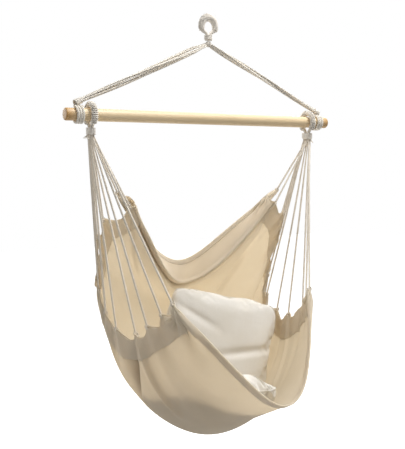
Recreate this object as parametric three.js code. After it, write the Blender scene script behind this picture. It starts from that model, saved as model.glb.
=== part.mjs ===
// Hammock chair: a cotton seat hung by cords from a wooden spreader bar, which hangs from a rope eye.
// Millimetres, +Z up. The origin is where a hook bears inside the hanging eye. The bar lies along X,
// the chair faces -Y, and the seat is mirrored about X = 0.
import * as THREE from 'three';

// Heights and the wooden bar
const barDrop = 312;
const barLength = 1000;
const barDiameter = 38;
const barEndRound = 4;
const barSides = 32;
const barRadius = barDiameter / 2;
const barHalfLength = barLength / 2;

// Clearances
const gap = 0.3;
const turningGap = 0.7;

// Hanging eye: a rope bundle bent into a loop and wound with cord
const eyeHalfWidth = 26;
const eyeHeight = 34;
const eyeCoreRadius = 7;
const eyeCrownGrowth = 3.5;
const eyeLegRadius = 4.4;
const eyeLegSpread = 4.9;
const eyeLegShare = 0.3;
const eyeArchShare = 0.44;
const eyeLegTopShare = 0.1;
const eyeBareShare = 0.235;
const eyeCordRadius = 1.5;
const eyeCordFacets = { steps: 8, sides: 5 };
const eyeTurns = 12;

// Throat: the whipping under the eye, and the lashing that the spreader ropes fan out from
const throatTop = 40;
const throatLength = 20;
const throatCordRadius = 2;
const throatClearance = 0.9;
const throatTurns = 3;
const throatCordFacets = { steps: 10, sides: 5 };
const lashingRadius = 11;
const lashingGap = 0.2;
const lashingCordRadius = 2.2;
const lashingTurns = 3;
const lashingPoleShare = 0.93;
const lashingCordFacets = { steps: 10, sides: 5 };

// Spreader ropes: three strands a side, which end at a two-turn loop near each end of the bar
const strandRadius = 3.4;
const strandsPerSide = 3;
const ropeLoopInset = 40;
const ropeLoopRadius = 3.5;
const ropeLoopTurns = 2;
const ropeLoopPitch = 8;
const ropeLoopFacets = { steps: 16, sides: 8 };
// Turns of the strands and how far they stand off the rope's middle line, left rope then right rope
const ropeTwists = [0.6, 2.2];
const ropeBundleWidths = [8.6, 4.7];
const ropeEndRadius = 4.15;
const ropeBoundFrom = 0.93;
const ropeBundleSlack = 0.4;
const ropeEndInset = 36;
const ropeLeanShare = 0.92;
const ropeStartShare = 0.12;
const seizingTurns = 3;
const seizingCordRadius = 1.5;
const seizingLength = 11;
const seizingSetBack = 7.1;
const seizingCordFacets = { steps: 10, sides: 5 };

// Seat eyes: the rings in which each side's cords end, hung on the bar
const seatEyeInset = 83;
const seatEyeCoreRadius = 5.8;
const seatEyeCordRadius = 1.9;
const seatEyeTurns = 13;
const seatEyeCordFacets = { steps: 8, sides: 4 };
const seatEyeOpening = 24;
const seatEyeBareShare = 0.13;
const seatEyeLegShare = 1.6;
const cordTopShare = 0.8;
const neckTurns = 4;
const neckLength = 24;
const neckCordRadius = 2.2;
const neckOvalShares = [1.08, 1.18];

// Seat cords
const cordRadius = 2.5;
const cordEndGap = 1.2;
const cordsPerSide = 12;
const cordPitch = 5.7;
// The flat bundle in the neck, outer row and inner row, each from back to front: an order in which no
// cord crosses another on its way down. Cord 1 goes to the back corner of the cloth, 12 to the front one.
const neckRows = [[6, 4, 8, 9, 10, 11], [5, 7, 3, 1, 2, 12]];

// Seat cloth: half width at the widest side edge, reach of the front hem, and depth below the bar
const clothHalfWidth = 350;
const clothReach = 430;
const clothDepth = 1052;
const clothThickness = 3;
const scallopShare = 0.05;
const gatherDepth = 13;

// Cushions
const backCushionWidth = 366;
const backCushionHeight = 362;
const backCushionThickness = 114;
const seatCushionThickness = 90;
// The middle of the back cushion: to the sitter's left, behind the bar and below it
const backCushionAside = 63;
const backCushionBehind = 71;
const backCushionDrop = 774.1;

const colours = { cotton: 0xd8ccb6, rope: 0xc4b8a2, wood: 0xdec6a0, cushion: 0xe9e3d6 };

function material(colour, roughness) {
  return new THREE.MeshStandardMaterial({ color: colour, roughness, metalness: 0 });
}

// A closed solid through rings of equal point counts, each ring counter-clockwise seen from its far end.
function solidOfRings(rings) {
  const sides = rings[0].length;
  const positions = [];
  const indices = [];
  for (const ring of rings) for (const p of ring) positions.push(p.x, p.y, p.z);
  for (let r = 0; r < rings.length - 1; r += 1) {
    for (let k = 0; k < sides; k += 1) {
      const a = r * sides + k;
      const b = r * sides + (k + 1) % sides;
      indices.push(a, b, b + sides, a, b + sides, a + sides);
    }
  }
  const last = (rings.length - 1) * sides;
  for (let k = 1; k < sides - 1; k += 1) {
    indices.push(0, k + 1, k);
    indices.push(last, last + k, last + k + 1);
  }
  const geometry = new THREE.BufferGeometry();
  geometry.setAttribute('position', new THREE.Float32BufferAttribute(positions, 3));
  geometry.setIndex(indices);
  return geometry;
}

// A tube through points, mitred at each of them, with a radius at each and a side that starts at `up`.
function tubeThrough(points, radii, sides, ups) {
  const rings = points.map((point, i) => {
    const before = points[Math.max(i - 1, 0)];
    const after = points[Math.min(i + 1, points.length - 1)];
    const along = after.clone().sub(before).normalize();
    const side = ups[i].clone().addScaledVector(along, -ups[i].dot(along)).normalize();
    const across = along.clone().cross(side);
    return Array.from({ length: sides }, (_, k) => {
      const angle = (2 * Math.PI * k) / sides;
      return point.clone()
        .addScaledVector(side, radii[i] * Math.cos(angle))
        .addScaledVector(across, radii[i] * Math.sin(angle));
    });
  });
  return solidOfRings(rings);
}

// A rope of even radius along a curve.
function ropeAlong(curve, radius, steps, sides = 8) {
  const corners = Array.from({ length: sides }, (_, k) => {
    const angle = (2 * Math.PI * (k + 1 / 2)) / sides;
    return new THREE.Vector2(radius * Math.cos(angle), radius * Math.sin(angle));
  });
  return new THREE.ExtrudeGeometry(new THREE.Shape(corners), { steps, extrudePath: curve });
}

// One unbroken cord wound round a spine: turns from start to end, each at reach(u) from the spine.
function windingPoints(spineAt, reach, turns, stepsPerTurn) {
  const count = Math.round(turns * stepsPerTurn);
  const points = [];
  const ups = [];
  for (let i = 0; i <= count; i += 1) {
    const u = i / count;
    const { centre, side, across } = spineAt(u);
    const angle = 2 * Math.PI * turns * u;
    const out = side.clone().multiplyScalar(Math.cos(angle)).addScaledVector(across, Math.sin(angle));
    points.push(centre.clone().addScaledVector(out, reach(u)));
    ups.push(out);
  }
  return { points, ups };
}

function winding(spineAt, reach, turns, cordR, facets) {
  const { points, ups } = windingPoints(spineAt, reach, turns, facets.steps);
  return tubeThrough(points, points.map(() => cordR), facets.sides, ups);
}

// How far a cord must stand off a faceted core so that its flats still clear the core's corners.
function standOff(coreR, cordR, { steps, sides }) {
  return (coreR + gap) / Math.cos(Math.PI / steps) + cordR / Math.cos(Math.PI / sides);
}

// The spine of a loop in a plane: its point, the in-plane normal and the plane's normal at u.
function planarSpine(curve, planeNormal, from, to) {
  return (u) => {
    const at = from + (to - from) * u;
    const centre = curve.getPointAt(at);
    const along = curve.getTangentAt(at);
    const side = planeNormal.clone().cross(along).normalize();
    return { centre, side, across: planeNormal.clone() };
  };
}

function verticalSpine(x, top, length) {
  return (u) => ({
    centre: new THREE.Vector3(x, 0, top - length * u),
    side: new THREE.Vector3(1, 0, 0),
    across: new THREE.Vector3(0, 1, 0),
  });
}

// Hanging eye

const eyeWoundRadius = standOff(eyeCoreRadius, eyeCordRadius, eyeCordFacets) + eyeCordRadius;
const eyeCrownRadius = eyeWoundRadius + eyeCrownGrowth;

function eyeCoreRadiusAt(u) {
  const crown = Math.sin(Math.PI * u);
  const body = THREE.MathUtils.smoothstep(crown, eyeLegShare, 2 * eyeLegShare);
  return eyeLegRadius + (eyeCoreRadius - eyeLegRadius) * body + eyeCrownGrowth * crown ** 6;
}

// The middle line of the eye: an arch over the hook, then two legs drawn together in the throat.
const eyeArchCentre = -eyeHeight * eyeArchShare;
const eyeArchHeight = eyeCrownRadius - eyeArchCentre;
const eyeArchAngles = [-108, -81, -54, -27, 0, 27, 54, 81, 108];
const eyeLegs = [
  [eyeLegSpread, -throatTop - throatLength],
  [eyeLegSpread, -throatTop - eyeLegRadius * eyeLegTopShare],
];
const eyeCurve = new THREE.CatmullRomCurve3([
  ...eyeLegs.map(([x, z]) => new THREE.Vector3(-x, 0, z)),
  ...eyeArchAngles.map((degrees) => new THREE.Vector3(
    eyeHalfWidth * Math.sin(THREE.MathUtils.degToRad(degrees)),
    0,
    eyeArchCentre + eyeArchHeight * Math.cos(THREE.MathUtils.degToRad(degrees)),
  )),
  ...eyeLegs.map(([x, z]) => new THREE.Vector3(x, 0, z)).reverse(),
], false, 'centripetal');

function hangingEyeCore() {
  const steps = 26;
  const points = [];
  const radii = [];
  for (let i = 0; i <= steps; i += 1) {
    points.push(eyeCurve.getPointAt(i / steps));
    radii.push(eyeCoreRadiusAt(i / steps));
  }
  return tubeThrough(points, radii, 10, points.map(() => new THREE.Vector3(0, 1, 0)));
}

function hangingEyeWinding() {
  const from = eyeBareShare;
  const spine = planarSpine(eyeCurve, new THREE.Vector3(0, 1, 0), from, 1 - from);
  const coreAt = (u) => eyeCoreRadiusAt(from + (1 - 2 * from) * u);
  const reach = (u) => standOff(coreAt(u), eyeCordRadius, eyeCordFacets);
  return winding(spine, reach, eyeTurns, eyeCordRadius, eyeCordFacets);
}

function throatWhipping() {
  const bore = eyeLegSpread + eyeLegRadius + throatClearance;
  const reach = standOff(bore, throatCordRadius, throatCordFacets);
  const spine = verticalSpine(0, -throatTop - throatCordRadius, throatLength - 2 * throatCordRadius);
  return winding(spine, () => reach, throatTurns, throatCordRadius, throatCordFacets);
}

const lashingCentreZ = -throatTop - throatLength - lashingRadius - lashingGap;

// A ball of turns, so that the ropes can swing about its centre.
function ropeLashing() {
  const ball = lashingRadius - lashingCordRadius;
  const half = ball * lashingPoleShare;
  const spine = verticalSpine(0, lashingCentreZ + half, 2 * half);
  const reach = (u) => Math.sqrt(ball ** 2 - (half * (1 - 2 * u)) ** 2);
  return winding(spine, reach, lashingTurns, lashingCordRadius, lashingCordFacets);
}

// Spreader ropes and bar

const ropeLoopX = barHalfLength - ropeLoopInset;
const ropeEndX = barHalfLength - ropeEndInset;
const loopReach = standOff(barRadius, ropeLoopRadius, ropeLoopFacets);
const ropeBoundRadius = ropeEndRadius + strandRadius;
const ropeEndZ = -barDrop + loopReach + ropeLoopRadius + ropeBoundRadius * ropeLeanShare;

// The middle line of one side's rope, from the lashing to the top of the bar loop.
function ropeCurve(sideSign) {
  const end = new THREE.Vector3(sideSign * ropeEndX, 0, ropeEndZ);
  const apex = new THREE.Vector3(0, 0, lashingCentreZ);
  const along = end.clone().sub(apex).normalize();
  const start = apex.addScaledVector(along, lashingRadius);
  return new THREE.LineCurve3(start, end);
}

// One strand of a side's rope, which twists round its middle line.
function spreaderStrand(sideSign, index) {
  const sideIndex = sideSign < 0 ? 0 : 1;
  const curve = ropeCurve(sideSign);
  const across = new THREE.Vector3(0, 1, 0);
  const stations = 24;
  const points = [];
  for (let i = 0; i <= stations; i += 1) {
    const u = i / stations;
    const side = across.clone().cross(curve.getTangentAt(u));
    const angle = 2 * Math.PI * (index / strandsPerSide + ropeTwists[sideIndex] * u);
    const closing = Math.min(1, u / ropeBoundFrom) ** 4;
    const opened = THREE.MathUtils.smoothstep(u, 0, ropeStartShare) * (1 - closing);
    const spread = THREE.MathUtils.lerp(ropeEndRadius, ropeBundleWidths[sideIndex], opened);
    points.push(curve.getPointAt(u)
      .addScaledVector(side, spread * Math.cos(angle))
      .addScaledVector(across, spread * Math.sin(angle)));
  }
  return ropeAlong(new THREE.CatmullRomCurve3(points), strandRadius, 26);
}

// The seizing that binds a rope's strands just above the bar loop.
function ropeSeizing(sideSign) {
  const curve = ropeCurve(sideSign);
  const along = curve.getTangentAt(1);
  const across = new THREE.Vector3(0, 1, 0);
  const reach = standOff(ropeBoundRadius - ropeBundleSlack, seizingCordRadius, seizingCordFacets);
  const end = curve.getPoint(1);
  const spine = (u) => ({
    centre: end.clone().addScaledVector(along, -seizingLength * (1 - u) - seizingSetBack),
    side: across.clone().cross(along),
    across,
  });
  return winding(spine, () => reach, seizingTurns, seizingCordRadius, seizingCordFacets);
}

// The two turns of rope round the bar, one unbroken tube that starts and ends on top of it.
function barLoop(sideSign) {
  const wide = ropeLoopTurns * ropeLoopPitch;
  const spine = (u) => ({
    centre: new THREE.Vector3(sideSign * (ropeLoopX + wide * (u - 1 / 2)), 0, -barDrop),
    side: new THREE.Vector3(0, 0, 1),
    across: new THREE.Vector3(0, 1, 0),
  });
  return winding(spine, () => loopReach, ropeLoopTurns, ropeLoopRadius, ropeLoopFacets);
}

function spreaderBar() {
  const half = barHalfLength;
  const profile = [new THREE.Vector2(0, -half)];
  const arcSteps = 3;
  for (let i = 0; i <= arcSteps; i += 1) {
    const angle = (Math.PI / 2) * (i / arcSteps);
    const inset = barEndRound * (1 - Math.sin(angle));
    profile.push(new THREE.Vector2(barRadius - inset, -half + barEndRound * (1 - Math.cos(angle))));
  }
  for (let i = arcSteps; i >= 0; i -= 1) {
    const mirrored = profile[i + 1].clone();
    mirrored.y = -mirrored.y;
    profile.push(mirrored);
  }
  profile.push(new THREE.Vector2(0, half));
  const geometry = new THREE.LatheGeometry(profile, barSides);
  geometry.rotateZ(-Math.PI / 2);
  geometry.translate(0, 0, -barDrop);
  return geometry;
}

// Seat eyes: rings round the bar, whose legs run down into the neck whipping. Seat places are below
// the bar's axis, so everything from here on is built about it and put in a group at its height.

const seatEyeX = barHalfLength - seatEyeInset;
const seatEyeCordReach = standOff(seatEyeCoreRadius, seatEyeCordRadius, seatEyeCordFacets);
const seatEyeWoundRadius = seatEyeCordReach + seatEyeCordRadius;
const seatEyeReach = barRadius + turningGap + seatEyeWoundRadius;
const seatEyeLegSpread = seatEyeCoreRadius + gap;
const legEndZ = -seatEyeReach - seatEyeCoreRadius * seatEyeLegShare;
const cordTopZ = legEndZ - seatEyeCoreRadius * cordTopShare;
const neckTopZ = -seatEyeReach - seatEyeWoundRadius / 2;
const neckBottomZ = neckTopZ - neckLength;
const neckHalfLong = ((cordsPerSide / neckRows.length - 1) / 2) * cordPitch + cordRadius + neckCordRadius;
const neckHalfWide = ((neckRows.length - 1) / 2) * cordPitch + cordRadius + neckCordRadius;

function seatEyeCurve(x) {
  const points = [new THREE.Vector3(x, seatEyeLegSpread, legEndZ)];
  const arcs = 10;
  const open = THREE.MathUtils.degToRad(seatEyeOpening);
  for (let i = 0; i <= arcs; i += 1) {
    const angle = open + (2 * Math.PI - 2 * open) * (i / arcs);
    points.push(new THREE.Vector3(x, seatEyeReach * Math.sin(angle), -seatEyeReach * Math.cos(angle)));
  }
  points.push(new THREE.Vector3(x, -seatEyeLegSpread, legEndZ));
  return new THREE.CatmullRomCurve3(points, false, 'centripetal');
}

function seatEyeCore(x) {
  return ropeAlong(seatEyeCurve(x), seatEyeCoreRadius, 26, 8);
}

function seatEyeWinding(x) {
  const curve = seatEyeCurve(x);
  const spine = planarSpine(curve, new THREE.Vector3(1, 0, 0), seatEyeBareShare, 1 - seatEyeBareShare);
  return winding(spine, () => seatEyeCordReach, seatEyeTurns, seatEyeCordRadius, seatEyeCordFacets);
}

// Eases a sine or cosine towards a rounded rectangle.
function squared(value) {
  return Math.sign(value) * Math.abs(value) ** (2 / 3);
}

// The whipping that binds the ring's legs to the flat bundle of cords: an oval winding.
function neckWhipping(x) {
  const stepsPerTurn = 16;
  const count = neckTurns * stepsPerTurn;
  const points = [];
  const ups = [];
  for (let i = 0; i <= count; i += 1) {
    const angle = 2 * Math.PI * (i / stepsPerTurn);
    const out = new THREE.Vector3(squared(Math.cos(angle)), squared(Math.sin(angle)), 0);
    const drop = (neckLength - 2 * neckCordRadius) * (i / count);
    points.push(new THREE.Vector3(
      x + neckHalfWide * neckOvalShares[0] * out.x,
      neckHalfLong * neckOvalShares[1] * out.y,
      neckTopZ - neckCordRadius - drop,
    ));
    ups.push(out);
  }
  return tubeThrough(points, points.map(() => neckCordRadius), 5, ups);
}

// Seat cloth. Stations run from the back hem to the front hem. Each gives, as shares of the half width,
// the reach and the depth, the side edge and the middle line of the cloth there, then how softly the
// cross-section turns in height and in reach, and how far it swells.
const stationShares = [
  { edge: [0.879, 0.09, 0.222], middle: [0.44, 0.465], form: [0.36, 0.8, 0] },
  { edge: [0.785, -0.002, 0.262], middle: [0.381, 0.533], form: [0.6, 0.1, 0] },
  { edge: [1.03, 0.12, 0.314], middle: [0.49, 0.61], form: [0.5, 0.4, 0.05] },
  { edge: [1.03, 0.2, 0.392], middle: [0.46, 0.74], form: [0.7, 0.8, 0.22] },
  { edge: [0.985, 0.3, 0.504], middle: [0.4, 0.875], form: [0.9, 1, 0.42] },
  { edge: [0.91, 0.245, 0.6], middle: [0.19, 0.975], form: [1, 1, 0.52] },
  { edge: [0.874, -0.023, 0.644], middle: [-0.14, 0.986], form: [1, 1, 0.5] },
  { edge: [0.814, -0.302, 0.597], middle: [-0.53, 0.9], form: [0.8, 1, 0.34] },
  { edge: [0.716, -0.479, 0.527], middle: [-1, 0.802], form: [0.57, 2.2, 0] },
];
// Where the cords meet the side edge, as shares of the way from the back hem to the front hem.
const cordShares = [0, 0.15, 0.24, 0.325, 0.43, 0.53, 0.615, 0.7, 0.79, 0.865, 0.935, 1];
// Columns of the cloth's mesh, as shares of the way from the middle line to the side edge.
const columnShares = [0, 0.14, 0.28, 0.42, 0.56, 0.7, 0.82, 0.92, 1];
const rowsPerCord = 3;
const gatherFade = 5;
const scallopFade = 14;
const slopeStep = 0.004;

const edgeCurve = new THREE.CatmullRomCurve3(stationShares.map(({ edge }) => new THREE.Vector3(
  clothHalfWidth * edge[0], clothReach * edge[1], -clothDepth * edge[2],
)));
const middleCurve = new THREE.CatmullRomCurve3(stationShares.map(({ middle }) => new THREE.Vector3(
  0, clothReach * middle[0], -clothDepth * middle[1],
)));
const formCurve = new THREE.CatmullRomCurve3(stationShares.map(({ form }) => new THREE.Vector3(...form)));

// A rounded V from 0 at t = 0 to 1 at t = 1 or -1.
function turned(t, soft) {
  return (Math.hypot(t, soft) - soft) / (Math.hypot(1, soft) - soft);
}

function clothPoint(s, t) {
  const edge = edgeCurve.getPoint(s);
  const middle = middleCurve.getPoint(s);
  const form = formCurve.getPoint(s);
  return new THREE.Vector3(
    edge.x * t * (1 + form.z * (1 - t * t)),
    middle.y + (edge.y - middle.y) * turned(t, form.y),
    middle.z + (edge.z - middle.z) * turned(t, form.x),
  );
}

// The unit normal that points away from the sitter.
function clothNormal(s, t) {
  const low = Math.max(s - slopeStep, 0);
  const high = Math.min(s + slopeStep, 1);
  const alongS = clothPoint(high, t).sub(clothPoint(low, t));
  const alongT = clothPoint(s, t + slopeStep).sub(clothPoint(s, t - slopeStep));
  return alongT.cross(alongS).normalize();
}

// 0 at a cord and 1 half way between two cords.
function betweenCords(s) {
  const next = Math.max(1, cordShares.findIndex((share) => share >= s));
  const fraction = (s - cordShares[next - 1]) / (cordShares[next] - cordShares[next - 1]);
  return Math.sin(Math.PI * fraction) ** 2;
}

// The cloth with its scalloped side edges and the folds that gather towards the cords.
function gatheredPoint(s, t, offset) {
  const side = Math.abs(t);
  const between = betweenCords(s);
  const drawn = t * (1 - scallopShare * between * side ** scallopFade);
  const out = gatherDepth * (1 / 2 - between) * side ** gatherFade;
  return clothPoint(s, drawn).addScaledVector(clothNormal(s, drawn), out + offset);
}

// A sheet with two skins and a rim, on a grid of s and t.
function sheetSolid(rows, columns, pointAt) {
  const positions = [];
  const indices = [];
  const skin = rows.length * columns.length;
  for (const outer of [0, 1]) {
    for (const s of rows) {
      for (const t of columns) {
        const p = pointAt(s, t, outer);
        positions.push(p.x, p.y, p.z);
      }
    }
  }
  const at = (i, j, outer) => outer * skin + i * columns.length + j;
  const quad = (a, b, c, d) => indices.push(a, b, c, a, c, d);
  const lastRow = rows.length - 1;
  const lastColumn = columns.length - 1;
  for (let i = 0; i < lastRow; i += 1) {
    for (let j = 0; j < lastColumn; j += 1) {
      quad(at(i, j, 0), at(i + 1, j, 0), at(i + 1, j + 1, 0), at(i, j + 1, 0));
      quad(at(i, j, 1), at(i, j + 1, 1), at(i + 1, j + 1, 1), at(i + 1, j, 1));
    }
    quad(at(i, 0, 0), at(i, 0, 1), at(i + 1, 0, 1), at(i + 1, 0, 0));
    quad(at(i, lastColumn, 0), at(i + 1, lastColumn, 0), at(i + 1, lastColumn, 1), at(i, lastColumn, 1));
  }
  for (let j = 0; j < lastColumn; j += 1) {
    quad(at(0, j, 0), at(0, j + 1, 0), at(0, j + 1, 1), at(0, j, 1));
    quad(at(lastRow, j, 0), at(lastRow, j, 1), at(lastRow, j + 1, 1), at(lastRow, j + 1, 0));
  }
  const geometry = new THREE.BufferGeometry();
  geometry.setAttribute('position', new THREE.Float32BufferAttribute(positions, 3));
  geometry.setIndex(indices);
  return geometry;
}

function clothRows() {
  const rows = [0];
  for (let k = 1; k < cordShares.length; k += 1) {
    for (let i = 1; i <= rowsPerCord; i += 1) {
      rows.push(cordShares[k - 1] + (cordShares[k] - cordShares[k - 1]) * (i / rowsPerCord));
    }
  }
  return rows;
}

const clothColumns = [...columnShares.slice(1).reverse().map((share) => -share), ...columnShares];

function seatCloth() {
  const half = clothThickness / 2;
  return sheetSolid(clothRows(), clothColumns, (s, t, outer) => gatheredPoint(s, t, outer ? half : -half));
}

// Seat cords: from their places in the neck's bundle down to the side edge of the cloth.

function neckPlace(index) {
  const row = neckRows.findIndex((cords) => cords.includes(index + 1));
  const column = neckRows[row].indexOf(index + 1);
  const columns = neckRows[row].length;
  return new THREE.Vector2(
    ((neckRows.length - 1) / 2 - row) * cordPitch,
    ((columns - 1) / 2 - column) * cordPitch,
  );
}

function seatCord(sideSign, index) {
  const place = neckPlace(index);
  const x = sideSign * (seatEyeX + place.x);
  const top = new THREE.Vector3(x, place.y, cordTopZ);
  const bend = new THREE.Vector3(x, place.y, neckBottomZ - cordRadius);
  const target = gatheredPoint(cordShares[index], sideSign, 0);
  const away = bend.clone().sub(target).normalize();
  const end = target.addScaledVector(away, clothThickness / 2 + cordEndGap);
  const points = [top, bend, end];
  return tubeThrough(points, points.map(() => cordRadius), 8, points.map(() => new THREE.Vector3(0, 1, 0)));
}

// Cushions: a crowned form over a base. Its seam lies part of the way up, its sides draw in between the
// corners, and baseAt(a, b, height) gives a place for a and b from -1 to 1 and a height over the base.
const seamShare = 0.42;
const drawInShare = 0.045;
const cornerShare = 0.05;
const crownPower = 0.42;

function cushion(thickness, baseAt) {
  const cells = 14;
  const positions = [];
  const indices = [];
  const upper = [];
  const lower = [];
  const shareOf = (i) => Math.sin((Math.PI / 2) * ((2 * i) / cells - 1));
  for (let i = 0; i <= cells; i += 1) {
    for (let j = 0; j <= cells; j += 1) {
      const a = shareOf(i);
      const b = shareOf(j);
      const seam = i === 0 || j === 0 || i === cells || j === cells;
      const crown = seam ? 0 : ((1 - a * a) * (1 - b * b)) ** crownPower;
      const across = a * (1 - drawInShare * (1 - b * b) - cornerShare * b ** 8);
      const along = b * (1 - drawInShare * (1 - a * a) - cornerShare * a ** 8);
      const add = (height) => {
        const p = baseAt(across, along, height);
        positions.push(p.x, p.y, p.z);
        return positions.length / 3 - 1;
      };
      const top = add(thickness * (seamShare + (1 - seamShare) * crown));
      upper.push(top);
      lower.push(seam ? top : add(thickness * seamShare * (1 - crown)));
    }
  }
  const at = (list, i, j) => list[i * (cells + 1) + j];
  for (let i = 0; i < cells; i += 1) {
    for (let j = 0; j < cells; j += 1) {
      const near = [upper, lower].map((list) => [
        at(list, i, j), at(list, i + 1, j), at(list, i + 1, j + 1), at(list, i, j + 1),
      ]);
      const [u, l] = near;
      indices.push(u[0], u[1], u[2], u[0], u[2], u[3]);
      indices.push(l[0], l[2], l[1], l[0], l[3], l[2]);
    }
  }
  const geometry = new THREE.BufferGeometry();
  geometry.setAttribute('position', new THREE.Float32BufferAttribute(positions, 3));
  geometry.setIndex(indices);
  return geometry;
}

// The seat cushion lies along the cloth: its middle and half length as shares of the way from hem to hem.
const seatMiddleShare = 0.81;
const seatHalfLengthShare = 0.125;
const seatHalfWidthShare = 0.5;
const seatShiftShare = -0.19;
const seatSkewShare = 0.035;
const seatCushionGap = 2.4;
const seatCushionBridgeHeight = 18;

function seatCushion() {
  return cushion(seatCushionThickness, (a, b, height) => {
    const s = seatMiddleShare - seatHalfLengthShare * b + seatSkewShare * a;
    const t = seatShiftShare + seatHalfWidthShare * a;
    return clothPoint(s, t).addScaledVector(
      clothNormal(s, t), -(clothThickness / 2 + seatCushionGap - seatCushionBridgeHeight * a * a + height),
    );
  });
}

// The back cushion stands behind the seat cushion and leans into the back of the cloth, turned to the left.
const backCushionPlace = new THREE.Vector3(backCushionAside, backCushionBehind, -backCushionDrop);
const backCushionTurn = { lean: -11, roll: 12.5, yaw: -22 };

function backCushion() {
  const degrees = THREE.MathUtils.degToRad;
  const turn = new THREE.Euler(
    degrees(backCushionTurn.lean), degrees(backCushionTurn.roll), degrees(backCushionTurn.yaw), 'ZXY',
  );
  return cushion(backCushionThickness, (a, b, height) => new THREE.Vector3(
    (backCushionWidth / 2) * a, backCushionThickness * seamShare - height, (backCushionHeight / 2) * b,
  ).applyEuler(turn).add(backCushionPlace));
}

// Assembly

const cotton = material(colours.cotton, 0.95);
const rope = material(colours.rope, 0.95);
const wood = material(colours.wood, 0.55);
const stuffed = material(colours.cushion, 0.9);

const chair = new THREE.Group();
const atBar = new THREE.Group();
atBar.position.z = -barDrop;
chair.add(atBar);

function place(parent, name, geometry, finish) {
  const mesh = new THREE.Mesh(geometry, finish);
  mesh.name = name;
  parent.add(mesh);
}

place(chair, 'hanging_eye_core', hangingEyeCore(), rope);
place(chair, 'hanging_eye_winding', hangingEyeWinding(), rope);
place(chair, 'throat_whipping', throatWhipping(), rope);
place(chair, 'rope_lashing', ropeLashing(), rope);
place(chair, 'spreader_bar', spreaderBar(), wood);
for (const [side, sign] of [['left', -1], ['right', 1]]) {
  for (let i = 0; i < strandsPerSide; i += 1) {
    place(chair, `${side}_spreader_strand_${i + 1}`, spreaderStrand(sign, i), rope);
  }
  place(chair, `${side}_rope_seizing`, ropeSeizing(sign), rope);
  place(chair, `${side}_bar_loop`, barLoop(sign), rope);
  place(atBar, `${side}_seat_eye_core`, seatEyeCore(sign * seatEyeX), rope);
  place(atBar, `${side}_seat_eye_winding`, seatEyeWinding(sign * seatEyeX), rope);
  place(atBar, `${side}_neck_whipping`, neckWhipping(sign * seatEyeX), rope);
  for (let i = 0; i < cordsPerSide; i += 1) {
    place(atBar, `${side}_seat_cord_${i + 1}`, seatCord(sign, i), rope);
  }
}
place(atBar, 'seat_cloth', seatCloth(), cotton);
place(atBar, 'seat_cushion', seatCushion(), stuffed);
place(atBar, 'back_cushion', backCushion(), stuffed);

export default chair;
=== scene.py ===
import math

import bpy
import numpy as np
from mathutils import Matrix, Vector
from mathutils.kdtree import KDTree


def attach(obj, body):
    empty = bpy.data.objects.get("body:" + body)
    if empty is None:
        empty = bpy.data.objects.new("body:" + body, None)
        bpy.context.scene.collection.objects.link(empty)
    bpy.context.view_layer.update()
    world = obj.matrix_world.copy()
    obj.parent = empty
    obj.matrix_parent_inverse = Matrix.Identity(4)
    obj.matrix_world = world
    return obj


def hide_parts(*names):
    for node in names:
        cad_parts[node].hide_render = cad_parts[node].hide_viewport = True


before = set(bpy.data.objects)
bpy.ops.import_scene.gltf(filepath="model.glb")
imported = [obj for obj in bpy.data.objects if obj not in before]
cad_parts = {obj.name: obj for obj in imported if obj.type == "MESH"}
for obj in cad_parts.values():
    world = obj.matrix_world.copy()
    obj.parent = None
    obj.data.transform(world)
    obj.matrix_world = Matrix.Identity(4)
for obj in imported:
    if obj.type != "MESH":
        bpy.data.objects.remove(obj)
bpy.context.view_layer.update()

# Places of the frame, in metres. The origin is where the hook bears in the hanging eye.
BAR_DROP = 0.312
BAR_HALF = 0.5
BAR_RADIUS = 0.019
LASHING_Z = -0.0712

# The seat cloth, below the bar's axis
CLOTH_HALF_WIDTH = 0.350
CLOTH_REACH = 0.430
CLOTH_DEPTH = 1.052
# Stations from the back hem to the front hem: side edge (x, y, z) and middle line (y, z) as shares of the
# sizes above, and form: how softly z and y turn at the middle line, and how far x bulges
STATIONS = [
    ((0.879, 0.09, 0.222), (0.44, 0.465), (0.36, 0.8, 0)),
    ((0.785, -0.002, 0.262), (0.381, 0.533), (0.6, 0.1, 0)),
    ((1.03, 0.12, 0.314), (0.49, 0.61), (0.5, 0.4, 0.05)),
    ((1.03, 0.2, 0.392), (0.46, 0.74), (0.7, 0.8, 0.22)),
    ((0.985, 0.3, 0.504), (0.4, 0.875), (0.9, 1, 0.42)),
    ((0.91, 0.245, 0.6), (0.19, 0.975), (1, 1, 0.52)),
    ((0.874, -0.023, 0.644), (-0.14, 0.986), (1, 1, 0.5)),
    ((0.814, -0.302, 0.597), (-0.53, 0.9), (0.8, 1, 0.34)),
    ((0.716, -0.479, 0.527), (-1, 0.802), (0.57, 2.2, 0)),
]
# Where the twelve cords meet the side edge, as shares of the way from the back hem to the front hem
CORD_SHARES = np.array([0, 0.15, 0.24, 0.325, 0.43, 0.53, 0.615, 0.7, 0.79, 0.865, 0.935, 1])
# How far the edge is cut in between two cords, as a share of the half width, and how high it ripples, in metres
SCALLOP = 0.036
GATHER = 0.013


# Curves and surfaces

def unit(vectors):
    return vectors / np.linalg.norm(vectors, axis=-1, keepdims=True)


def distances(points):
    """The length along the points, from the first of them to each."""
    return np.concatenate([[0], np.cumsum(np.linalg.norm(np.diff(points, axis=0), axis=1))])


def interpolated(where, at, points):
    """The points' coordinates between them, where the points themselves are at the values of at."""
    return np.stack([np.interp(where, at, points[:, k]) for k in range(3)], 1)


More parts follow.
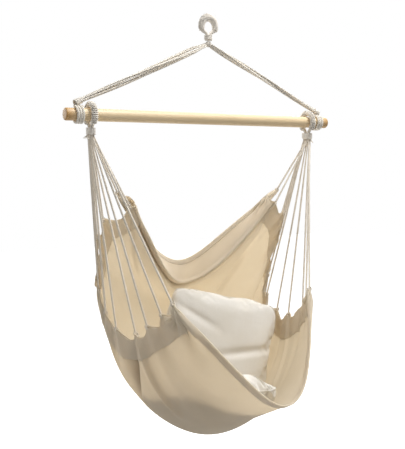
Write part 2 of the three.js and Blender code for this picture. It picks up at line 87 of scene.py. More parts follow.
def through(points):
    """A centripetal curve through the points, as a function of a share from 0 to 1."""
    P = np.array(points, float)
    last = len(P) - 1

    def at(share):
        share = np.atleast_1d(np.asarray(share, float))
        i = np.clip(np.floor(share * last).astype(int), 0, last - 1)
        w = (share * last - i)[:, None]
        x1, x2 = P[i], P[i + 1]
        x0 = np.where((i > 0)[:, None], P[np.maximum(i - 1, 0)], 2 * P[0] - P[1])
        x3 = np.where((i + 2 <= last)[:, None], P[np.minimum(i + 2, last)], 2 * P[last] - P[last - 1])
        d0, d1, d2 = [np.maximum(np.linalg.norm(b - a, axis=1) ** 0.5, 1e-6)[:, None]
                      for a, b in ((x0, x1), (x1, x2), (x2, x3))]
        t1 = ((x1 - x0) / d0 - (x2 - x0) / (d0 + d1) + (x2 - x1) / d1) * d1
        t2 = ((x2 - x1) / d1 - (x3 - x1) / (d1 + d2) + (x3 - x2) / d2) * d1
        return x1 + t1 * w + (3 * (x2 - x1) - 2 * t1 - t2) * w ** 2 + (2 * (x1 - x2) + t1 + t2) * w ** 3

    return at


EDGE = through([(CLOTH_HALF_WIDTH * e[0], CLOTH_REACH * e[1], -CLOTH_DEPTH * e[2]) for e, m, f in STATIONS])
MIDDLE = through([(0, CLOTH_REACH * m[0], -CLOTH_DEPTH * m[1]) for e, m, f in STATIONS])
FORM = through([f for e, m, f in STATIONS])


def smoothstep(x, low, high):
    """From 0 at low to 1 at high, level at both ends."""
    x = np.clip((x - low) / (high - low), 0, 1)
    return x * x * (3 - 2 * x)


def turned(t, soft):
    """From 0 at the middle line to 1 at the side edge: a V where soft is small, round where it is large."""
    return (np.hypot(t, soft) - soft) / (np.hypot(1, soft) - soft)


def cloth_point(s, t):
    """The smooth cloth at share s from back hem to front hem and share t from the middle, -1 at the left."""
    s, t = np.broadcast_arrays(np.asarray(s, float), np.asarray(t, float))
    shape, s, t = s.shape, s.ravel(), t.ravel()
    e, m, f = EDGE(s), MIDDLE(s), FORM(s)
    x = e[:, 0] * t * (1 + f[:, 2] * (1 - t * t))
    y = m[:, 1] + (e[:, 1] - m[:, 1]) * turned(t, f[:, 1])
    z = m[:, 2] + (e[:, 2] - m[:, 2]) * turned(t, f[:, 0]) - BAR_DROP
    return np.stack([x, y, z], 1).reshape(shape + (3,))


def cloth_normal(s, t, step=0.004):
    """The unit normal that points away from the sitter."""
    along_s = cloth_point(np.minimum(s + step, 1), t) - cloth_point(np.maximum(s - step, 0), t)
    along_t = cloth_point(s, t + step) - cloth_point(s, t - step)
    return unit(np.cross(along_t, along_s))


def between_cords(s):
    """How far s is from the nearest cords, 0 at one and 1 midway, and its place as a count of cords."""
    i = np.clip(np.searchsorted(CORD_SHARES, s, side="left"), 1, len(CORD_SHARES) - 1)
    fraction = (s - CORD_SHARES[i - 1]) / (CORD_SHARES[i] - CORD_SHARES[i - 1])
    return np.sin(np.pi * fraction) ** 2, i - 1 + fraction


# Where the back of the cloth turns over into its collar
RIDGE = 0.125

# Folds of the cloth: side, points (s, t) along the fold, half width in s (towards the back and the front where
# there are two), and height outwards in metres
FOLDS = [
    (-1, [(0.782, 1.0), (0.78, 0.92), (0.765, 0.83), (0.73, 0.7), (0.698, 0.61), (0.66, 0.45)],
     (0.04, 0.009), -0.027),
    (-1, [(0.815, 1.0), (0.808, 0.83), (0.804, 0.6), (0.802, 0.43), (0.79, 0.3)], 0.007, 0.007),
    (-1, [(0.812, 1.0), (0.806, 0.83), (0.803, 0.6), (0.8, 0.4)], 0.010, 0.006),
    (-1, [(0.86, 0.9), (0.85, 0.6), (0.83, 0.3), (0.81, 0.1)], 0.016, 0.004),
    (1, [(0.165, 0.92), (0.205, 0.775), (0.252, 0.58), (0.29, 0.39), (0.31, 0.25)], 0.012, 0.012),
    (1, [(0.15, 0.95), (0.19, 0.85), (0.215, 0.72), (0.24, 0.62)], 0.008, -0.006),
    (-1, [(0.17, 0.92), (0.21, 0.7), (0.26, 0.4)], 0.012, 0.009),
    (1, [(0.785, 1.0), (0.783, 0.8), (0.78, 0.6), (0.77, 0.4)], 0.012, -0.009),
    (1, [(0.73, 1.0), (0.725, 0.8), (0.71, 0.55)], 0.010, 0.006),
    (1, [(0.865, 1.0), (0.86, 0.8), (0.84, 0.5), (0.81, 0.25)], 0.012, 0.006),
    (1, [(0.93, 1.0), (0.92, 0.85), (0.9, 0.6)], 0.008, -0.004),
    (-1, [(0.53, 1.0), (0.53, 0.8), (0.55, 0.55)], 0.012, -0.006),
    (1, [(0.43, 1.0), (0.44, 0.8), (0.47, 0.5)], 0.012, 0.007),
    (-1, [(0.43, 1.0), (0.44, 0.8), (0.46, 0.55)], 0.012, 0.006),
]


def folds(s, t):
    """How far the folds lift the cloth outwards, in metres."""
    out = np.zeros_like(s)
    for side, line, wide, deep in FOLDS:
        a = np.abs(t)
        places = np.array(line)[::-1]
        middle = np.interp(a, places[:, 1], places[:, 0])
        low, high = places[0, 1], places[-1, 1]
        wide = np.where(s < middle, *wide) if isinstance(wide, tuple) else wide
        ease = np.clip((a - low) / 0.2, 0, 1) * np.clip((high + 0.12 - a) / 0.12, 0, 1)
        height = np.where(t * side > 0, deep * ease * ease * (3 - 2 * ease), 0)
        out += height * np.exp(-((s - middle) / wide) ** 2)
    return out


def cloth_relief(s, t):
    """What lies on the cloth's smooth form, outwards: tucks, unevenness, folds, gathers and its turned top."""
    side = np.abs(t)
    _, place = between_cords(s)
    tucks = 0.0022 * np.sin(2 * np.pi * place * 2 + 1.3 * np.sin(place)) * side ** 8
    fine = 0.0009 * np.sin(2 * np.pi * place * 5 + 2 * np.sin(3 * place)) * side ** 16
    slow = 0.0016 * np.sin(9 * s + 5 * t) * np.sin(7 * t - 4 * s + 1) * (1 - side ** 4)
    turned_over = (0.024 * np.exp(-((s - RIDGE - 0.022) / 0.0095) ** 2)
                   - 0.008 * np.exp(-((s - RIDGE) / 0.012) ** 2)) * (1 - smoothstep(side, 0.72, 0.95))
    corner = np.hypot(np.minimum(s, 1 - s) / 0.10, (1 - side) / 0.30)
    ray = np.arctan2((1 - side) / 0.30, np.minimum(s, 1 - s) / 0.10 + 1e-6)
    gathers = 0.0065 * np.sin(11 * ray + 2 * t) * np.exp(-((corner - 0.45) / 0.38) ** 2)
    bulge = 0.011 * np.exp(-((1 - s - 0.03) / 0.035) ** 2 - ((1 - side - 0.07) / 0.13) ** 2)
    return tucks + fine + slow + folds(s, t) + gathers + bulge + turned_over


def painted_crease_shade(s, t):
    """How much painted shade the cloth gets, from 0 to 1: along the left's long fold and under the collar."""
    line = np.array(FOLDS[0][1])[::-1]
    a = np.abs(t)
    aside = s - np.interp(a, line[:, 1], line[:, 0])
    fold = np.exp(-(aside / np.where(aside < 0, 0.03, 0.007)) ** 2) * (t < 0) * smoothstep(a, 0.45, 0.7)
    under = np.exp(-((s - RIDGE - 0.021) / 0.008) ** 2) * (1 - smoothstep(a, 0.8, 0.97))
    return np.maximum(fold, 0.8 * under)


def gathered(s, t, offset=0.0):
    """The cloth with its scallops, gathers and folds, at the offset outside its middle, in metres."""
    s, t = np.broadcast_arrays(np.asarray(s, float), np.asarray(t, float))
    side = np.abs(t)
    between, _ = between_cords(s)
    drawn = t * (1 - SCALLOP * between * side ** 14)
    out = GATHER * (0.5 - between) * side ** 5 + cloth_relief(s, t)
    return cloth_point(s, drawn) + cloth_normal(s, drawn) * (out + offset)[..., None]


# Mesh makers

def new_mesh(name, verts, faces, uvs=None):
    mesh = bpy.data.meshes.new(name)
    mesh.from_pydata(np.asarray(verts).tolist(), [], faces if isinstance(faces, list) else faces.tolist())
    if uvs is not None:
        layer = mesh.uv_layers.new(name="weave")
        index = np.empty(len(mesh.loops), int)
        mesh.loops.foreach_get("vertex_index", index)
        layer.data.foreach_set("uv", np.asarray(uvs, float)[index].ravel())
    mesh.polygons.foreach_set("use_smooth", [True] * len(mesh.polygons))
    mesh.update()
    obj = bpy.data.objects.new(name, mesh)
    bpy.context.scene.collection.objects.link(obj)
    return obj


def finish_piece(obj, body, material, replaces=()):
    obj.data.materials.append(material)
    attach(obj, body)
    if replaces:
        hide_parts(*replaces)
    return obj


def grid_faces(rows, columns, offset=0, flip=False, closed=False):
    i, j = np.meshgrid(np.arange(rows - 1), np.arange(columns if closed else columns - 1), indexing="ij")
    k = (j + 1) % columns
    a, b, c, d = i * columns + j, i * columns + k, (i + 1) * columns + k, (i + 1) * columns + j
    quads = np.stack([a, b, c, d] if not flip else [a, d, c, b], -1).reshape(-1, 4)
    return quads + offset


def sheet_mesh(name, s, t, thickness, offset=0.0):
    """A closed sheet of cloth over the grid of s and t, lying at the offset outside the cloth's middle."""
    S, T = np.meshgrid(s, t, indexing="ij")
    rows, columns = S.shape
    skins = [gathered(S, T, offset + sign * thickness / 2).reshape(-1, 3) for sign in (-1, 1)]
    middle = gathered(S, T, offset)
    along = np.concatenate([np.zeros((1, columns)),
                            np.cumsum(np.linalg.norm(np.diff(middle, axis=0), axis=-1), 0)])
    across = np.concatenate([np.zeros((rows, 1)),
                             np.cumsum(np.linalg.norm(np.diff(middle, axis=1), axis=-1), 1)], 1)
    uv = np.stack([across, along], -1).reshape(-1, 2)
    n = rows * columns
    faces = [grid_faces(rows, columns), grid_faces(rows, columns, n, True)]
    r, c = np.arange(rows - 1), np.arange(columns - 1)
    left, right = r * columns, r * columns + columns - 1
    bottom, top = c, (rows - 1) * columns + c
    faces += [np.stack([left, left + columns, left + columns + n, left + n], -1),
              np.stack([right, right + n, right + columns + n, right + columns], -1),
              np.stack([bottom, bottom + n, bottom + 1 + n, bottom + 1], -1),
              np.stack([top, top + 1, top + 1 + n, top + n], -1)]
    return new_mesh(name, np.concatenate(skins), np.concatenate(faces), np.concatenate([uv, uv]))


def frames_along(points, up):
    """The points, and at each two directions across their line, carried along it without a twist."""
    P = np.asarray(points, float)
    tangent = unit(np.gradient(P, axis=0))
    side = np.empty_like(P)
    last = np.asarray(up, float)
    for i, along in enumerate(tangent):
        last = unit(last - along * last.dot(along))
        side[i] = last
    return P, side, np.cross(tangent, side)


def rope_parts(points, radius, plies=3, pitch=0.022, sides=16, up=(0.31, 0.9, 0.27), taper=None, groove=0.2):
    """Vertices, faces and uvs of a laid rope through the points: its plies turn round the middle line."""
    P, side, across = frames_along(points, up)
    length = distances(P)
    angle = 2 * np.pi * np.arange(sides) / sides
    lobes = np.abs(np.cos(plies / 2 * (angle[None] - 2 * np.pi * length[:, None] / pitch)))
    reach = radius * (1 - groove * (1 - lobes ** 0.7))
    if taper is not None:
        reach = reach * taper(length / length[-1])[:, None]
    ring = (P[:, None] + reach[..., None] * (np.cos(angle)[None, :, None] * side[:, None]
                                             + np.sin(angle)[None, :, None] * across[:, None]))
    rows = len(P)
    verts = np.concatenate([ring.reshape(-1, 3), P[:1], P[-1:]])
    faces = grid_faces(rows, sides, closed=True).tolist()
    k = np.arange(sides)
    faces += np.stack([np.full(sides, rows * sides), (k + 1) % sides, k], -1).tolist()
    end = (rows - 1) * sides
    faces += np.stack([np.full(sides, rows * sides + 1), end + k, end + (k + 1) % sides], -1).tolist()
    u = np.broadcast_to(angle[None] * radius, (rows, sides))
    v = np.broadcast_to(length[:, None], (rows, sides))
    uv = np.concatenate([np.stack([u, v], -1).reshape(-1, 2), [[0, 0]], [[0, length[-1]]]])
    return verts, faces, uv


def join_parts(parts):
    verts, faces, uvs, base = [], [], [], 0
    for v, f, uv in parts:
        verts.append(v)
        uvs.append(uv)
        faces += [[i + base for i in face] for face in f]
        base += len(v)
    return np.concatenate(verts), faces, np.concatenate(uvs)


def rope(name, parts, body, material, replaces=()):
    verts, faces, uvs = join_parts(parts)
    return finish_piece(new_mesh(name, verts, faces, uvs), body, material, replaces)


def even(curve, steps):
    """Points at even spacing along a curve given as a function of a share."""
    fine = curve(np.linspace(0, 1, 400))
    length = distances(fine)
    return interpolated(np.linspace(0, length[-1], steps + 1), length, fine)


POINTS_A_TURN = 16


def wound(spine, normal, reach, turns):
    """Points of a cord wound round a spine of points that lies in the plane with this normal.
    Its reach from the spine is a number or a function of the share along the spine."""
    P = np.asarray(spine, float)
    u = np.linspace(0, 1, int(turns * POINTS_A_TURN) + 1)
    centre = interpolated(u, np.linspace(0, 1, len(P)), P)
    normal = np.asarray(normal, float)
    side = unit(np.cross(normal, unit(np.gradient(centre, axis=0))))
    angle = 2 * np.pi * turns * u
    r = reach(u)[:, None] if callable(reach) else reach
    return centre + r * (np.cos(angle)[:, None] * side + np.sin(angle)[:, None] * normal)


# Materials

def material(name, plain):
    """A new material with its node tree and its shader, which gets these plain values."""
    m = bpy.data.materials.new(name)
    m.use_nodes = True
    shader = m.node_tree.nodes["Principled BSDF"]
    for key, value in plain.items():
        shader.inputs[key].default_value = value
    return m, m.node_tree, shader


def node(tree, kind, inputs=(), **settings):
    """A new node with its settings. An input is linked where it is given a socket."""
    n = tree.nodes.new(kind)
    for key, value in settings.items():
        setattr(n, key, value)
    for key, value in dict(inputs).items():
        if isinstance(value, bpy.types.NodeSocket):
            tree.links.new(value, n.inputs[key])
        else:
            n.inputs[key].default_value = value
    return n


def mix_colour(tree, factor, a, b, blend="MIX"):
    return node(tree, "ShaderNodeMix", {0: factor, 6: a, 7: b}, data_type="RGBA", blend_type=blend).outputs[2]


def rgb(code):
    """A linear colour from its six hexadecimal digits."""
    channels = [int(code[i:i + 2], 16) / 255 for i in (0, 2, 4)]
    return tuple(c / 12.92 if c <= 0.04045 else ((c + 0.055) / 1.055) ** 2.4 for c in channels) + (1,)


def noise(tree, vector, scale, detail, rough=0.5, turn=0.0):
    """A noise, stretched where the scale is three numbers."""
    if isinstance(scale, tuple):
        place = {"Vector": vector, "Scale": scale, "Rotation": (0, 0, turn)}
        vector, scale = node(tree, "ShaderNodeMapping", place).outputs[0], 1.0
    return node(tree, "ShaderNodeTexNoise", {"Vector": vector, "Scale": scale, "Detail": detail,
                                             "Roughness": rough}).outputs[0]


def maths(tree, operation, *values):
    return node(tree, "ShaderNodeMath", dict(enumerate(values)), operation=operation).outputs[0]


def mapped(tree, value, low, high, to_low=0.0, to_high=1.0):
    return node(tree, "ShaderNodeMapRange", {"Value": value, "From Min": low, "From Max": high,
                                             "To Min": to_low, "To Max": to_high}).outputs[0]


def bumped(tree, height, strength, distance, normal=None):
    inputs = {"Strength": strength, "Distance": distance, "Height": height}
    if normal is not None:
        inputs["Normal"] = normal
    return node(tree, "ShaderNodeBump", inputs).outputs[0]


def weave_height(tree, uv, threads):
    """Over and under threads of a plain weave, from the uv map in metres."""
    scaled = node(tree, "ShaderNodeVectorMath", {0: uv, 1: (threads, threads, 0)}, operation="MULTIPLY")
    split = node(tree, "ShaderNodeSeparateXYZ", {0: scaled.outputs[0]})
    return maths(tree, "MULTIPLY", *[maths(tree, "SINE", split.outputs[axis]) for axis in (0, 1)])


THREADS = 4200.0
SLUBS = 0.45
# Painted shade: the brown that the cloth's colour, and the light it lets through, turn towards in its folds and
# under its collar
CREASE_SHADE_BROWN = rgb("95784c")
CREASE_SHADE_BROWN_THROUGH = rgb("6e5430")


def cloth_material(name, light, dark, through_colour, through_share, bump=0.3):
    """Woven cotton with shade painted in its creases, on its colour and on the light it lets through. The
    through share of its light is let through, in its own colour.
    """
    m, tree, shader = material(name, {"Roughness": 0.92, "Sheen Weight": 0.1, "Sheen Roughness": 0.6,
                                      "Specular IOR Level": 0.2})
    coordinates = node(tree, "ShaderNodeTexCoord").outputs["Object"]
    uv = node(tree, "ShaderNodeUVMap", uv_map="weave").outputs[0]
    slub = maths(tree, "ADD", noise(tree, uv, (900, 14, 1), 2.0), noise(tree, uv, (14, 900, 1), 2.0))
    # Painted shade: the crease attribute darkens the base colour towards brown
    shade_depth = node(tree, "ShaderNodeAttribute", attribute_name="crease").outputs["Fac"]
    crease = maths(tree, "MULTIPLY", shade_depth, 0.7)
    base = mix_colour(tree, mapped(tree, noise(tree, coordinates, 7.0, 4.0), 0.3, 0.7), light, dark)
    base = mix_colour(tree, mapped(tree, slub, 0.85, 1.25, 0.0, SLUBS), base, dark)
    base = mix_colour(tree, crease, base, CREASE_SHADE_BROWN)
    tree.links.new(base, shader.inputs["Base Color"])
    rumpled = bumped(tree, noise(tree, coordinates, 38.0, 5.0, 0.55), 0.18, 0.004)
    woven = bumped(tree, maths(tree, "ADD", weave_height(tree, uv, THREADS), slub), bump, 0.0004, rumpled)
    tree.links.new(woven, shader.inputs["Normal"])
    if through_share:
        # Painted shade: less light, and browner, is let through in the creases
        passed = mix_colour(tree, crease, through_colour, CREASE_SHADE_BROWN_THROUGH)
        lit = node(tree, "ShaderNodeBsdfTranslucent", {"Color": passed, "Normal": rumpled})
        both = node(tree, "ShaderNodeMixShader", {0: through_share, 1: shader.outputs[0], 2: lit.outputs[0]})
        tree.links.new(both.outputs[0], tree.nodes["Material Output"].inputs["Surface"])
    return m


def rope_material(name, light, dark):
    """Twisted cotton, with shade painted between its plies and darker spots and fibres."""
    m, tree, shader = material(name, {"Roughness": 0.95, "Sheen Weight": 0.55, "Sheen Roughness": 0.6,
                                      "Specular IOR Level": 0.2})
    coordinates = node(tree, "ShaderNodeTexCoord").outputs["Object"]
    uv = node(tree, "ShaderNodeUVMap", uv_map="weave").outputs[0]
    fibres = noise(tree, uv, (2600, 240, 1), 3.0, 0.6, turn=0.5)
    # Painted shade: the hollows of the mesh between the plies take the dark colour
    groove = node(tree, "ShaderNodeNewGeometry").outputs["Pointiness"]
    base = mix_colour(tree, mapped(tree, groove, 0.46, 0.54), dark, light)
    spots = noise(tree, coordinates, 60.0, 4.0)
    base = mix_colour(tree, mapped(tree, spots, 0.35, 0.7, 0.0, 0.45), base, dark)
    base = mix_colour(tree, mapped(tree, fibres, 0.35, 0.7, 0.0, 0.35), base, dark)
    tree.links.new(base, shader.inputs["Base Color"])
    tree.links.new(bumped(tree, fibres, 0.6, 0.0006), shader.inputs["Normal"])
    return m


def wood_material(name, light, dark, end):
    """Wood with its grain along x and the end colour on the bar's end faces."""
    m, tree, shader = material(name, {"Roughness": 0.48})
    coordinates = node(tree, "ShaderNodeTexCoord").outputs["Object"]
    grain = noise(tree, coordinates, (1.6, 70, 70), 6.0, 0.6)
    pores = noise(tree, coordinates, (9, 420, 420), 3.0, 0.6)
    bands = noise(tree, coordinates, (0.6, 22, 22), 2.0)
    base = mix_colour(tree, mapped(tree, grain, 0.35, 0.68), light, dark)
    base = mix_colour(tree, mapped(tree, pores, 0.55, 0.75, 0.0, 0.5), base, dark, "MULTIPLY")
    base = mix_colour(tree, mapped(tree, bands, 0.4, 0.65, 0.0, 0.35), base, dark)
    x = node(tree, "ShaderNodeSeparateXYZ", {0: coordinates}).outputs[0]
    at_end = mapped(tree, maths(tree, "ABSOLUTE", x), BAR_HALF - 0.05, BAR_HALF - 0.001)
    base = mix_colour(tree, at_end, base, end)
    tree.links.new(base, shader.inputs["Base Color"])
    tree.links.new(bumped(tree, pores, 0.25, 0.0006), shader.inputs["Normal"])
    return m


cotton = cloth_material("cotton_canvas", rgb("dfd9cd"), rgb("d3cbbc"), rgb("f5ead6"), 0.52)
# Painted light: the facings, collar, hems and pleats are the same canvas as the seat, given a lighter colour
# and more light through to make up for the shade of the doubled cloth
facing_cloth = cloth_material("facing_canvas", rgb("f0eadf"), rgb("e8e0d2"), rgb("f8f1e2"), 0.56)
cushion_cloth = cloth_material("cushion_cotton", rgb("edeae4"), rgb("e2ddd3"), rgb("edeae4"), 0.0, bump=0.22)
thread = rope_material("sewing_thread", rgb("efe7d6"), rgb("dccfb8"))
rope_cotton = rope_material("rope_cotton", rgb("efe9de"), rgb("d3c9b8"))
cord_cotton = rope_material("cord_cotton", rgb("f1e8da"), rgb("d3c7b2"))
pale_rope = rope_material("eye_cotton", rgb("f2ece2"), rgb("d8cebf"))
birch = wood_material("turned_wood", rgb("efdcba"), rgb("dabd8e"), rgb("b98f55"))


# Camera, at the photograph's viewing angle

def add_camera():
    data = bpy.data.cameras.new("camera")
    data.lens = 62.35
    data.sensor_width = 36
    data.clip_end = 60
    cam = bpy.data.objects.new("camera", data)
    bpy.context.scene.collection.objects.link(cam)
    cam.location = (-1.3762, -2.1669, -0.4528)
    turn, pitch = math.radians(32), math.radians(4.595)
    forward = Vector((math.sin(turn) * math.cos(pitch), math.cos(turn) * math.cos(pitch), -math.sin(pitch)))
    cam.rotation_mode = "QUATERNION"
    cam.rotation_quaternion = forward.to_track_quat("-Z", "Y")
    bpy.context.scene.camera = cam


LIT_POINT = (0, 0, -0.9)


def add_lamp(name, location, size, power):
    data = bpy.data.lights.new(name, "AREA")
    data.size = size
    data.energy = power
    lamp = bpy.data.objects.new(name, data)
    bpy.context.scene.collection.objects.link(lamp)
    lamp.location = location
    lamp.rotation_mode = "QUATERNION"
    lamp.rotation_quaternion = (Vector(LIT_POINT) - Vector(location)).to_track_quat("-Z", "Y")


def add_world():
    world = bpy.data.worlds.new("studio")
    bpy.context.scene.world = world
    world.use_nodes = True
    tree = world.node_tree
    rays = node(tree, "ShaderNodeLightPath")
    seen = rays.outputs["Is Camera Ray"]
    for other in ("Is Glossy Ray", "Is Transmission Ray"):
        seen = maths(tree, "MAXIMUM", seen, rays.outputs[other])
    strength = mapped(tree, seen, 0.0, 1.0, 0.15, 1.0)
    tree.links.new(strength, tree.nodes["Background"].inputs["Strength"])
    tree.nodes["Background"].inputs["Color"].default_value = (1, 1, 1, 1)


def add_floor():
    half, z = 9.0, -1.78
    corners = [(-half, -half, z), (half, -half, z), (half, half, z), (-half, half, z)]
    floor = new_mesh("floor", corners, [[0, 1, 2, 3]])
    m, tree, shader = material("floor_white", {"Base Color": (0.6, 0.6, 0.6, 1), "Roughness": 0.9,
                                               "Emission Color": (1, 1, 1, 1)})
    place = node(tree, "ShaderNodeNewGeometry").outputs["Position"]
    away = node(tree, "ShaderNodeVectorMath", {0: place}, operation="LENGTH").outputs["Value"]
    seen = node(tree, "ShaderNodeLightPath").outputs["Is Camera Ray"]
    glow = maths(tree, "MULTIPLY", seen, mapped(tree, away, 2.3, 4.0, 0.77, 1.0))
    tree.links.new(glow, shader.inputs["Emission Strength"])
    floor.data.materials.append(m)


# Bar

def add_bar():
    sides, rounded = 72, 0.004
    profile = [(-BAR_HALF, 0.0)]
    arc = np.linspace(0, np.pi / 2, 8)
    left = [(-BAR_HALF + rounded * (1 - math.sin(a)), BAR_RADIUS - rounded * (1 - math.cos(a)))
            for a in arc[::-1]]
    profile += left
    profile += [(x, BAR_RADIUS) for x in np.linspace(-BAR_HALF + 0.03, BAR_HALF - 0.03, 24)]
    profile += [(-x, r) for x, r in left[::-1]]
    profile += [(BAR_HALF, 0.0)]
    angle = 2 * np.pi * np.arange(sides) / sides
    verts = [(x, r * math.cos(a), -BAR_DROP + r * math.sin(a)) for x, r in profile for a in angle]
    bar = new_mesh("turned_bar", verts, grid_faces(len(profile), sides, closed=True))
    finish_piece(bar, "spreader", birch, ["spreader_bar"])


# Hanging eye and the ropes that fan out from it

EYE_HALF_WIDTH = 0.026
EYE_HEIGHT = 0.034
EYE_CORE = 0.007
EYE_CROWN_GROWTH = 0.0035
EYE_LEG = 0.0044
EYE_LEG_SPREAD = 0.0049
EYE_CROWN_TOP = 0.01422
THROAT_TOP = 0.040
THROAT_LENGTH = 0.020
LASHING_RADIUS = 0.011


def eye_core_radius(u):
    crown = np.sin(np.pi * u)
    return EYE_LEG + (EYE_CORE - EYE_LEG) * smoothstep(crown, 0.3, 0.6) + EYE_CROWN_GROWTH * crown ** 6


def add_hanging_eye():
    centre = -EYE_HEIGHT * 0.44
    height = EYE_CROWN_TOP - centre
    legs = [(EYE_LEG_SPREAD, -THROAT_TOP - THROAT_LENGTH), (EYE_LEG_SPREAD, -THROAT_TOP - EYE_LEG * 0.1)]
    arch = [(EYE_HALF_WIDTH * math.sin(a), 0, centre + height * math.cos(a))
            for a in np.radians(np.arange(-108, 109, 27))]
    spine = even(through([(-x, 0, z) for x, z in legs] + arch + [(x, 0, z) for x, z in legs[::-1]]), 120)
    share = np.linspace(0, 1, len(spine))
    core = rope_parts(spine, 1.0, plies=5, pitch=0.03, sides=20, up=(0, 1, 0), taper=eye_core_radius,
                      groove=0.12)
    rope("eye_core", [core], "eye", pale_rope, replaces=["hanging_eye_core"])
    low, high, thick = 0.225, 0.775, 0.00135
    cord = wound(spine[(share >= low) & (share <= high)], (0, 1, 0),
                 lambda u: eye_core_radius(low + (high - low) * u) + 0.0004 + thick, 42)
    rope("eye_winding", [rope_parts(cord, thick * 1.06, plies=2, pitch=0.006, sides=8)], "eye", pale_rope,
         replaces=["hanging_eye_winding"])


def upright(x, top, length, count=40):
    return np.stack([np.full(count, x), np.zeros(count), np.linspace(top, top - length, count)], 1)


def add_throat():
    thick = 0.0017
    cord = wound(upright(0, -THROAT_TOP - thick, THROAT_LENGTH - 2 * thick), (1, 0, 0), 0.0122, 5.4)
    rope("throat_cord", [rope_parts(cord, thick, plies=2, pitch=0.007, sides=10)], "throat", pale_rope,
         replaces=["throat_whipping"])
    thick = 0.00165
    ball = LASHING_RADIUS - thick
    half = ball * 0.93
    cord = wound(upright(0, LASHING_Z + half, 2 * half), (1, 0, 0),
                 lambda u: np.sqrt(ball ** 2 - (half * (1 - 2 * u)) ** 2), 5.5)
    core = rope_parts(upright(0, LASHING_Z + half, 2 * half, 12), ball * 0.8, sides=16,
                      taper=lambda u: np.sqrt(np.maximum(1 - (2 * u - 1) ** 2, 0.02)))
    cord = rope_parts(cord, thick, plies=2, pitch=0.007, sides=10)
    rope("lashing_ball", [cord, core], "lashing", pale_rope, replaces=["rope_lashing"])


ROPE_END_X = 0.464
ROPE_END_Z = -BAR_DROP + 0.03466
LOOP_REACH = 0.02372
# For each side, the turns of its three ropes from the lashing to the bar, and how far apart they run
TWISTS = {-1: 0.3, 1: 0.5}
BUNDLES = {-1: 0.0086, 1: 0.0047}
ENDS_APART = 0.00415
STRAND = 0.0034
LOOP_STRAND = 0.0041
SIDES = ((-1, "left"), (1, "right"))


def add_spreader_ropes():
    """Three ropes of three strands a side, with a seizing and a hitch at the bar."""
    for sign, hand in SIDES:
        end = np.array([sign * ROPE_END_X, 0, ROPE_END_Z])
        apex = np.array([0, 0, LASHING_Z])
        along = unit(end - apex)
        start = apex + along * LASHING_RADIUS
        across = np.array([0, 1.0, 0])
        side = np.cross(across, along)
        u = np.linspace(0, 1, 330)
        opened = smoothstep(u, 0, 0.12) * (1 - np.minimum(1, u / 0.93) ** 4)
        spread = ENDS_APART + (BUNDLES[sign] - ENDS_APART) * opened
        for index in range(3):
            angle = 2 * np.pi * (index / 3 + TWISTS[sign] * u)
            points = (start + (end - start) * u[:, None] + side * (spread * np.cos(angle))[:, None]
                      + across * (spread * np.sin(angle))[:, None])
            parts = []
            for part in range(3):
                turn = 2 * np.pi * (part / 3 + 0.4 * u) + index
                away = 0.00255 * (0.8 + 0.5 * opened)
                finer = (points + side * (away * np.cos(turn))[:, None]
                         + across * (away * np.sin(turn))[:, None])
                parts.append(rope_parts(finer, STRAND * 0.68, plies=2, pitch=0.03, sides=12, groove=0.08))
            rope(f"{hand}_laid_strand_{index + 1}", parts, "spreader", rope_cotton,
                 replaces=[f"{hand}_spreader_strand_{index + 1}"])
        line = [end - along * (0.0071 + 0.012 * (1 - k)) for k in np.linspace(0, 1, 24)]
        cord = wound(line, across, 0.0090, 6)
        rope(f"{hand}_seizing_cord", [rope_parts(cord, 0.00115, plies=2, pitch=0.006, sides=8)],
             "spreader", pale_rope, replaces=[f"{hand}_rope_seizing"])
        line = [end + along * (0.004 - 0.014 * k) for k in np.linspace(0, 1, 20)]
        hitch = wound(line, across, lambda u: 0.0072 + 0.0012 * np.sin(np.pi * u), 2.6)
        rope(f"{hand}_rope_hitch", [rope_parts(hitch, STRAND, pitch=0.02, sides=14)], "spreader", rope_cotton)


def add_bar_loops():
    turns, pitch = 3, 0.0085
    reach = LOOP_REACH + LOOP_STRAND - 0.0035
    u = np.linspace(0, 1, turns * 60 + 1)
    angle = 2 * np.pi * turns * u
    for sign, hand in SIDES:
        x = sign * (0.4555 + turns * pitch * (u - 0.5))
        points = np.stack([x, reach * np.sin(angle), -BAR_DROP + reach * np.cos(angle)], 1)
        loop = rope_parts(points, LOOP_STRAND, pitch=0.02, sides=18, groove=0.24, up=(1, 0, 0))
        rope(f"{hand}_rope_loop", [loop], "spreader", rope_cotton, replaces=[f"{hand}_bar_loop"])


# Seat eyes, necks and cords. NECK_ROWS gives the cords' numbers in the neck's two rows, from the back.

SEAT_EYE_X = 0.417
SEAT_EYE_REACH = 0.03087
SEAT_EYE_CORE = 0.0058
LEG_SPREAD = 0.0061
LEG_END = -0.04015
NECK_TOP = -0.0364
NECK_LENGTH = 0.024
NECK_LONG = 0.01895
NECK_WIDE = 0.00755
CORD_RADIUS = 0.0025
CORD_PITCH = 0.0057
CORD_TOP = -0.0448
CORD_STEP = 0.0016
NECK_ROWS = ((6, 4, 8, 9, 10, 11), (5, 7, 3, 1, 2, 12))


def squared(value):
    """A sine or cosine pushed outwards, so that an oval turns into a rounded rectangle."""
    return np.sign(value) * np.abs(value) ** (2 / 3)


